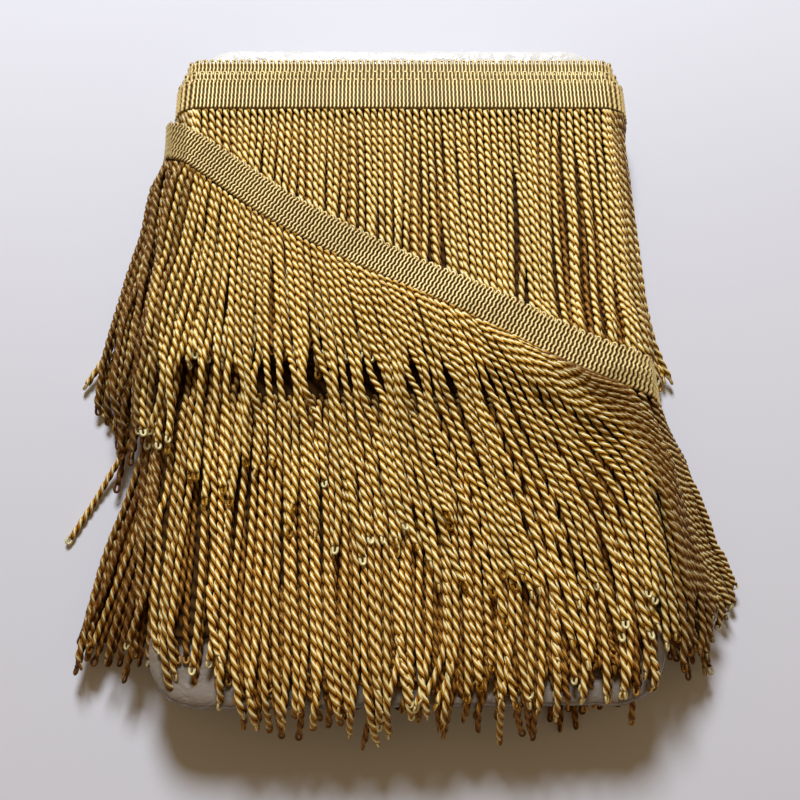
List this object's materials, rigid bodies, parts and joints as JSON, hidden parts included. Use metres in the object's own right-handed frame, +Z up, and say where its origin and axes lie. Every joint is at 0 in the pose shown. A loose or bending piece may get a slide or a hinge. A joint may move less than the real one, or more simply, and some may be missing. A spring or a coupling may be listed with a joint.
{
  "type": "bullion fringe trim wound on a card",
  "caption": "Gold bullion fringe trim wound in two tiers round a flat card, its last turn crossing the front at a slant, with long twisted cords hanging from woven headings.",
  "frame": {"origin": "centre of the part's box, on the surface it rests on", "axes": "+Y along the card to the end with the stepped headings, +X to the right, +Z up out of the front of the card"},
  "size_m": [0.293, 0.3278, 0.0468],
  "materials": {
    "card": "white card wrapped in thin, slightly crumpled clear film",
    "cords": "satin twisted gold yarn",
    "heading": "ribbed woven gold yarn"
  },
  "bodies": {
    "root": {"card": "card", "lower_windings": "cords", "upper_windings": "cords", "first_heading": "heading", "second_heading": "heading", "outer_heading": "heading", "upper_fringe": "cords", "lower_fringe": "cords", "crossing_heading": "heading", "crossing_fringe": "cords"}
  },
  "joints": []
}
